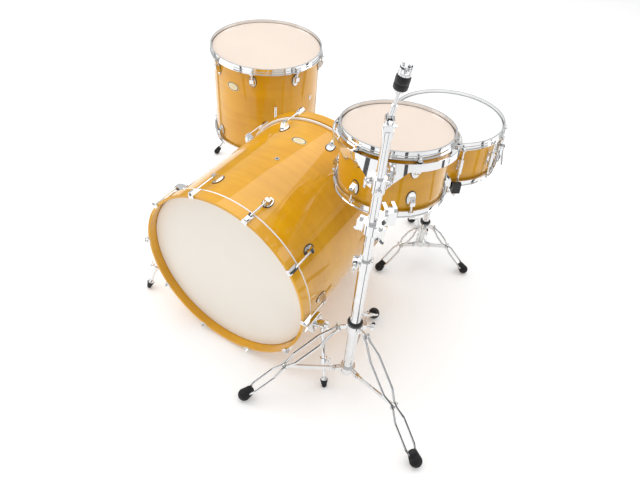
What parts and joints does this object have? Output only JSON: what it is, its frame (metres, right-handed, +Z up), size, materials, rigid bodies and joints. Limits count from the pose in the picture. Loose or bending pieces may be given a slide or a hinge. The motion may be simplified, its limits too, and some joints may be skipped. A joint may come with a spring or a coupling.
{
  "type": "drum kit",
  "caption": "Acoustic drum kit with bass drum, floor tom, rack tom hung on a folding cymbal stand, and a snare drum in the basket of its own folding stand.",
  "frame": {"origin": "on the floor under the centre of the kit's bounding box", "axes": "+Z up; the bass drum's front head faces -Y; +X toward the stand side of the kit"},
  "size_m": [1.438, 1.284, 1.1133],
  "materials": {
    "maple": "gloss lacquer",
    "bass_head": "smooth film",
    "clear_head": "clear film",
    "coated_head": "coated film",
    "chrome": "polished",
    "badge": "satin",
    "steel_wire": "bright",
    "felt": "felt"
  },
  "bodies": {
    "kit": {"bass_shell": "maple", "bass_hoops": "maple", "bass_heads": "bass_head", "bass_claws": "chrome", "bass_tension_rods": "chrome", "bass_lugs": "chrome", "shell_badges": "badge", "leg_brackets": "chrome", "floor_shell": "maple", "floor_hoops": "chrome", "floor_heads": "clear_head", "floor_lugs": "chrome", "floor_tension_rods": "chrome", "stand_base_tube": "chrome", "snare_stand_base_tube": "chrome"},
    "stand_collar": {"stand_leg_collar": "chrome"},
    "stand_middle": {"stand_middle_tube": "chrome"},
    "stand_upper": {"stand_upper_tube": "chrome"},
    "cymbal_tilter": {"cymbal_post": "chrome", "cymbal_felt": "felt"},
    "cymbal_nut": {"cymbal_crown": "chrome"},
    "tom_holder": {"tom_clamp": "chrome"},
    "tom_rod": {"tom_arm": "chrome"},
    "rack_tom": {"rack_shell": "maple", "rack_hoops": "chrome", "rack_heads": "clear_head", "rack_lugs": "chrome", "rack_tension_rods": "chrome", "rack_suspension_ring": "chrome", "rack_badge": "badge"},
    "snare_collar": {"snare_stand_leg_collar": "chrome"},
    "snare_tube": {"snare_stand_upper_tube": "chrome"},
    "basket": {"snare_basket": "chrome"},
    "snare": {"snare_shell": "maple", "snare_hoops": "chrome", "snare_heads": "coated_head", "snare_lugs": "chrome", "snare_tension_rods": "chrome", "snare_strainer": "chrome", "snare_wires": "steel_wire"},
    "throw_off": {"snare_throw_lever": "chrome"},
    "spur_right": {"spur_tube_right": "chrome"},
    "spur_right_inner": {"spur_rod_right": "chrome"},
    "spur_left": {"spur_tube_left": "chrome"},
    "spur_left_inner": {"spur_rod_left": "chrome"},
    "floor_leg_front": {"floor_leg_front": "chrome"},
    "floor_leg_left": {"floor_leg_left": "chrome"},
    "floor_leg_back": {"floor_leg_back": "chrome"},
    "stand_leg_a": {"stand_leg_a": "chrome"},
    "stand_brace_a": {"stand_brace_a": "chrome"},
    "stand_leg_b": {"stand_leg_b": "chrome"},
    "stand_brace_b": {"stand_brace_b": "chrome"},
    "stand_leg_c": {"stand_leg_c": "chrome"},
    "stand_brace_c": {"stand_brace_c": "chrome"},
    "snare_leg_a": {"snare_stand_leg_a": "chrome"},
    "snare_brace_a": {"snare_stand_brace_a": "chrome"},
    "snare_leg_b": {"snare_stand_leg_b": "chrome"},
    "snare_brace_b": {"snare_stand_brace_b": "chrome"},
    "snare_leg_c": {"snare_stand_leg_c": "chrome"},
    "snare_brace_c": {"snare_stand_brace_c": "chrome"}
  },
  "joints": [
    {"name": "spur_fold_right", "type": "hinge", "parent": "kit", "child": "spur_right", "pos_m": [0.28355, -0.39355, 0.2143], "axis": [0.9651, 0, 0.262], "range_deg": [0, 75]},
    {"name": "spur_length_right", "type": "slide", "parent": "spur_right", "child": "spur_right_inner", "axis": [-0.2533, 0.2551, 0.9331], "range_m": [0, 0.045]},
    {"name": "spur_fold_left", "type": "hinge", "parent": "kit", "child": "spur_left", "pos_m": [-0.32103, -0.39355, 0.2143], "axis": [0.9651, 0, -0.262], "range_deg": [0, 75]},
    {"name": "spur_length_left", "type": "slide", "parent": "spur_left", "child": "spur_left_inner", "axis": [0.2533, 0.2551, 0.9331], "range_m": [0, 0.045]},
    {"name": "floor_leg_height_front", "type": "slide", "parent": "kit", "child": "floor_leg_front", "axis": [0, 0, 1], "range_m": [0, 0.1]},
    {"name": "floor_leg_height_left", "type": "slide", "parent": "kit", "child": "floor_leg_left", "axis": [0, 0, 1], "range_m": [0, 0.1]},
    {"name": "floor_leg_height_back", "type": "slide", "parent": "kit", "child": "floor_leg_back", "axis": [0, 0, 1], "range_m": [0, 0.1]},
    {"name": "stand_fold", "type": "slide", "parent": "kit", "child": "stand_collar", "axis": [0, 0, 1], "range_m": [0, 0.1715]},
    {"name": "stand_leg_hinge_a", "type": "hinge", "parent": "stand_collar", "child": "stand_leg_a", "pos_m": [0.36823, -0.44836, 0.318], "axis": [0.6481, -0.7615, 0], "range_deg": [0, 34.93]},
    {"name": "stand_brace_hinge_a", "type": "hinge", "parent": "kit", "child": "stand_brace_a", "pos_m": [0.37128, -0.44577, 0.118], "axis": [-0.6481, 0.7615, 0], "range_deg": [0, 65.27]},
    {"name": "stand_leg_hinge_b", "type": "hinge", "parent": "stand_collar", "child": "stand_leg_b", "pos_m": [0.4466, -0.43398, 0.318], "axis": [0.3355, 0.9421, 0], "range_deg": [0, 34.93]},
    {"name": "stand_brace_hinge_b", "type": "hinge", "parent": "kit", "child": "stand_brace_b", "pos_m": [0.44283, -0.43264, 0.118], "axis": [-0.3355, -0.9421, 0], "range_deg": [0, 65.27]},
    {"name": "stand_leg_hinge_c", "type": "hinge", "parent": "stand_collar", "child": "stand_leg_c", "pos_m": [0.39496, -0.37331, 0.318], "axis": [-0.9836, -0.1805, 0], "range_deg": [0, 34.93]},
    {"name": "stand_brace_hinge_c", "type": "hinge", "parent": "kit", "child": "stand_brace_c", "pos_m": [0.39568, -0.37724, 0.118], "axis": [0.9836, 0.1805, 0], "range_deg": [0, 65.27]},
    {"name": "snare_fold", "type": "slide", "parent": "kit", "child": "snare_collar", "axis": [0, 0, 1], "range_m": [0, 0.07248]},
    {"name": "snare_leg_hinge_a", "type": "hinge", "parent": "snare_collar", "child": "snare_leg_a", "pos_m": [0.32675, 0.24146, 0.156], "axis": [0.8886, -0.4586, 0], "range_deg": [0, 38.45]},
    {"name": "snare_brace_hinge_a", "type": "hinge", "parent": "kit", "child": "snare_brace_a", "pos_m": [0.32767, 0.24324, 0.066], "axis": [-0.8886, 0.4586, 0], "range_deg": [0, 54.94]},
    {"name": "snare_leg_hinge_b", "type": "hinge", "parent": "snare_collar", "child": "snare_leg_b", "pos_m": [0.37922, 0.27515, 0.156], "axis": [-0.0471, 0.9989, 0], "range_deg": [0, 38.45]},
    {"name": "snare_brace_hinge_b", "type": "hinge", "parent": "kit", "child": "snare_brace_b", "pos_m": [0.37722, 0.27505, 0.066], "axis": [0.0471, -0.9989, 0], "range_deg": [0, 54.94]},
    {"name": "snare_leg_hinge_c", "type": "hinge", "parent": "snare_collar", "child": "snare_leg_c", "pos_m": [0.32381, 0.30374, 0.156], "axis": [-0.8415, -0.5402, 0], "range_deg": [0, 38.45]},
    {"name": "snare_brace_hinge_c", "type": "hinge", "parent": "kit", "child": "snare_brace_c", "pos_m": [0.32489, 0.30206, 0.066], "axis": [0.8415, 0.5402, 0], "range_deg": [0, 54.94]},
    {"name": "stand_middle_height", "type": "slide", "parent": "kit", "child": "stand_middle", "axis": [0, 0, 1], "range_m": [0, 0.12]},
    {"name": "stand_upper_height", "type": "slide", "parent": "stand_middle", "child": "stand_upper", "axis": [0, 0, 1], "range_m": [-0.09, 0.12]},
    {"name": "cymbal_tilt", "type": "hinge", "parent": "stand_upper", "child": "cymbal_tilter", "pos_m": [0.40326, -0.41855, 0.986], "axis": [0.4664, -0.8846, 0], "range_deg": [-70, 60]},
    {"name": "cymbal_nut_turn", "type": "hinge", "parent": "cymbal_tilter", "child": "cymbal_nut", "pos_m": [0.40326, -0.41855, 0.986], "axis": [0.1078, 0.0568, 0.9925], "continuous": true},
    {"name": "tom_holder_swivel", "type": "hinge", "parent": "stand_middle", "child": "tom_holder", "pos_m": [0.40326, -0.41855, 0.694], "axis": [0, 0, 1], "range_deg": [-90, 0]},
    {"name": "tom_tilt", "type": "hinge", "parent": "tom_holder", "child": "tom_rod", "pos_m": [0.41226, -0.34955, 0.69], "axis": [0.7361, 0.6768, 0], "range_deg": [0, 15]},
    {"name": "rack_tom_height", "type": "slide", "parent": "tom_rod", "child": "rack_tom", "axis": [-0.0665, 0.0993, 0.9928], "range_m": [0, 0.04]},
    {"name": "snare_height", "type": "slide", "parent": "kit", "child": "snare_tube", "axis": [0, 0, 1], "range_m": [-0.015, 0.08]},
    {"name": "basket_tilt", "type": "hinge", "parent": "snare_tube", "child": "basket", "pos_m": [0.34326, 0.27345, 0.352], "axis": [0.9381, 0.3462, 0], "range_deg": [-8, 8]},
    {"name": "snare_lift", "type": "slide", "parent": "basket", "child": "snare", "axis": [-0.0539, 0.0349, 0.9979], "range_m": [0, 0.12]},
    {"name": "throw_lever_swing", "type": "hinge", "parent": "snare", "child": "throw_off", "pos_m": [0.51846, 0.31988, 0.55422], "axis": [0.0261, -0.999, 0.0364], "range_deg": [0, 80]}
  ],
  "couplings": [
    {"joint": "stand_leg_hinge_a", "follows": "stand_fold", "rad_per_m": 3.5526},
    {"joint": "stand_brace_hinge_a", "follows": "stand_fold", "rad_per_m": 6.6407},
    {"joint": "stand_leg_hinge_b", "follows": "stand_fold", "rad_per_m": 3.5526},
    {"joint": "stand_brace_hinge_b", "follows": "stand_fold", "rad_per_m": 6.6407},
    {"joint": "stand_leg_hinge_c", "follows": "stand_fold", "rad_per_m": 3.5526},
    {"joint": "stand_brace_hinge_c", "follows": "stand_fold", "rad_per_m": 6.6407},
    {"joint": "snare_leg_hinge_a", "follows": "snare_fold", "rad_per_m": 9.2552},
    {"joint": "snare_brace_hinge_a", "follows": "snare_fold", "rad_per_m": 13.224},
    {"joint": "snare_leg_hinge_b", "follows": "snare_fold", "rad_per_m": 9.2552},
    {"joint": "snare_brace_hinge_b", "follows": "snare_fold", "rad_per_m": 13.224},
    {"joint": "snare_leg_hinge_c", "follows": "snare_fold", "rad_per_m": 9.2552},
    {"joint": "snare_brace_hinge_c", "follows": "snare_fold", "rad_per_m": 13.224}
  ]
}
